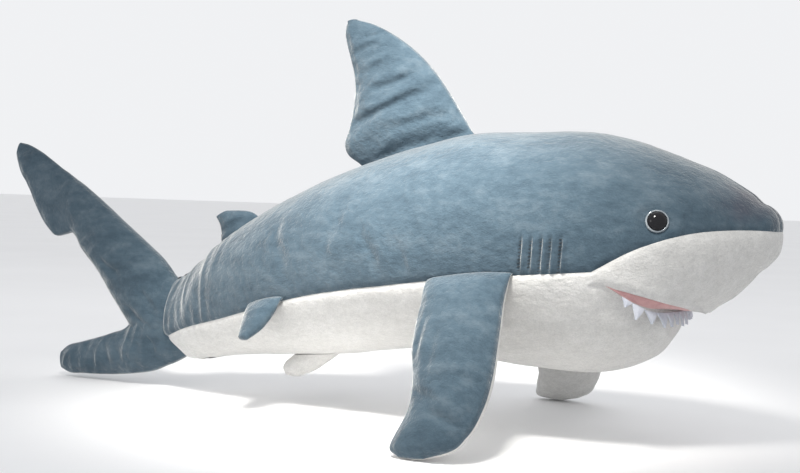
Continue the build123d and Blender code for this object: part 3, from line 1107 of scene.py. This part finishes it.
# ---- tail fin
UPPER_LOBE = [
    ((-170, 104), (-152, 38), 22),
    ((-178, 111), (-162, 31), 29),
    ((-188, 122), (-187, 21), 33),
    ((-203, 134), (-212, 42), 35),
    ((-220, 146), (-231, 65), 34),
    ((-240, 160), (-250, 88), 32),
    ((-261, 175), (-268, 111), 29),
    ((-281, 189), (-287, 129), 26),
    ((-297, 199), (-303.5, 147), 23),
    ((-303, 202.5), (-312, 145), 21),
    ((-311, 207.5), (-324, 143), 18),
    ((-321, 213), (-335, 151), 16),
    ((-334, 221), (-348, 167), 14),
    ((-351, 230.5), (-363.5, 194), 12),
    ((-366, 236.5), (-374.5, 210), 9),
    ((-375, 238), (-379.5, 224), 6),
]
LOWER_LOBE = [
    ((-170, 104), (-152, 38), 22),
    ((-178, 111), (-162, 31), 29),
    ((-194, 112), (-183, 21), 32),
    ((-212, 85), (-199, 14.5), 31),
    ((-227, 59), (-216, 11), 29),
    ((-251, 48), (-241, 7.5), 26),
    ((-271, 41.5), (-264, 5.5), 23),
    ((-290, 36), (-285, 4.5), 19),
    ((-306, 31), (-303, 4), 14),
    ((-314, 25), (-312.5, 7), 8),
]
UPPER_CREASES = [
    ((-232, 108), (-258, 122), 3.4, 2.4),
    ((-212, 62), (-188, 36), 3.2, 2.2),
    ((-222, 78), (-190, 56), 3.4, 2.0),
    ((-205, 96), (-186, 74), 3.4, 1.8),
    ((-214, 48), (-196, 26), 3.0, 1.8),
]
LOWER_CREASES = [
    ((-254, 42), (-243, 16), 3.6, 1.3),
    ((-270, 34), (-261, 10), 4.0, 1.0),
    ((-240, 40), (-222, 16), 3.6, 1.4),
    ((-232, 34), (-206, 18), 3.4, 1.2),
]

# Each side of the tail is one piece of cloth over both lobes.
LOBES = (
    (UPPER_LOBE, slanted(20, 0.016, 0.3), UPPER_CREASES),
    (LOWER_LOBE, slanted(75, 0.014, 0.3), LOWER_CREASES),
)
tail_shapes = {"left": [], "right": []}
for number, (lobe, folds, creases) in enumerate(LOBES):
    fin = Fin(on_middle_plane(lobe), 0.006, 131.0 + 7 * number)
    for shape in fin.surfaces(folds, 0.0017, creases):
        tail_shapes["left" if shape[0][:, 1].mean() > 0 else "right"].append(shape)
panels = []
for side, shapes in tail_shapes.items():
    nodes = [f"tail_panel_{side}"] + ["tail_stuffing"] * (side == "left")
    panels.append((f"tail_cloth_{side}", gather(shapes), GREY_CLOTH, nodes))
fin_pieces(panels, "tail_fin", (-0.172, 0, 0.07), (-0.205, 0, 0.07))


# ---- floor, light and camera
def floor_material():
    m = Nodes("pale_floor")
    m.colour(m.ramp(m.noise(3, 3), [(0.3, (0.90, 0.90, 0.905)), (0.7, (0.93, 0.93, 0.935))]))
    m.set(Roughness=0.85)
    return m.material


FLOOR_HALF = 25.0
corners = [(x * FLOOR_HALF, y * FLOOR_HALF, 0) for x, y in ((-1, -1), (1, -1), (1, 1), (-1, 1))]
floor = new_mesh("floor", corners, [(0, 1, 2, 3)], floor_material())


# World brightness: what lights the shark, and what the camera sees behind it.
STUDIO_LIGHT, STUDIO_SEEN = 0.80, 0.90


def area_light(name, place, aim, size, power, colour=(1, 1, 1), spread=180):
    data = bpy.data.lights.new(name, "AREA")
    data.size, data.energy, data.color = size, power, colour
    data.spread = math.radians(spread)
    light = bpy.data.objects.new(name, data)
    light.location = place
    light.rotation_mode = "QUATERNION"
    light.rotation_quaternion = (Vector(aim) - Vector(place)).to_track_quat("-Z", "Y")
    bpy.context.collection.objects.link(light)


area_light("overhead", (0.20, -0.44, 0.78), (0.088, -0.05, 0.215), 0.18, 1.25, (1, 0.975, 0.93), 44)
area_light("side_fill", (-0.85, -1.35, 0.60), (0.05, 0, 0.15), 0.55, 2.6)
area_light("rear_top", (-0.2, 0.8, 1.6), (0, 0, 0.15), 1.0, 3)

world = bpy.data.worlds.new("studio")
world.use_nodes = True
tree = world.node_tree
background = tree.nodes["Background"]
background.inputs["Color"].default_value = (0.97, 0.98, 1, 1)
seen = tree.nodes.new("ShaderNodeLightPath")
strength = tree.nodes.new("ShaderNodeMapRange")
strength.inputs["To Min"].default_value = STUDIO_LIGHT
strength.inputs["To Max"].default_value = STUDIO_SEEN
tree.links.new(seen.outputs["Is Camera Ray"], strength.inputs["Value"])
tree.links.new(strength.outputs[0], background.inputs["Strength"])
bpy.context.scene.world = world
bpy.context.scene.view_settings.view_transform = "Standard"

CAMERA_AZIMUTH, CAMERA_ELEVATION, CAMERA_ROLL = 24.96, 1.83, 1.775  # degrees
CAMERA_TARGET, CAMERA_DISTANCE = Vector((0.065, 0.0, 0.1582)), 1.02
LENS, SENSOR_WIDTH = 51.75, 36.0  # mm


def make_camera():
    a, e, r = (math.radians(v) for v in (CAMERA_AZIMUTH, CAMERA_ELEVATION, CAMERA_ROLL))
    back = Vector((math.sin(a) * math.cos(e), -math.cos(a) * math.cos(e), math.sin(e)))
    right = Vector((0, 0, 1)).cross(back).normalized()
    up = back.cross(right)
    right, up = right * math.cos(r) + up * math.sin(r), up * math.cos(r) - right * math.sin(r)
    data = bpy.data.cameras.new("camera")
    data.sensor_width, data.lens = SENSOR_WIDTH, LENS
    data.clip_start = 0.01
    camera = bpy.data.objects.new("camera", data)
    bpy.context.collection.objects.link(camera)
    turn = Matrix((right, up, back)).transposed().to_4x4()
    camera.matrix_world = Matrix.Translation(CAMERA_TARGET + back * CAMERA_DISTANCE) @ turn
    bpy.context.scene.camera = camera


make_camera()
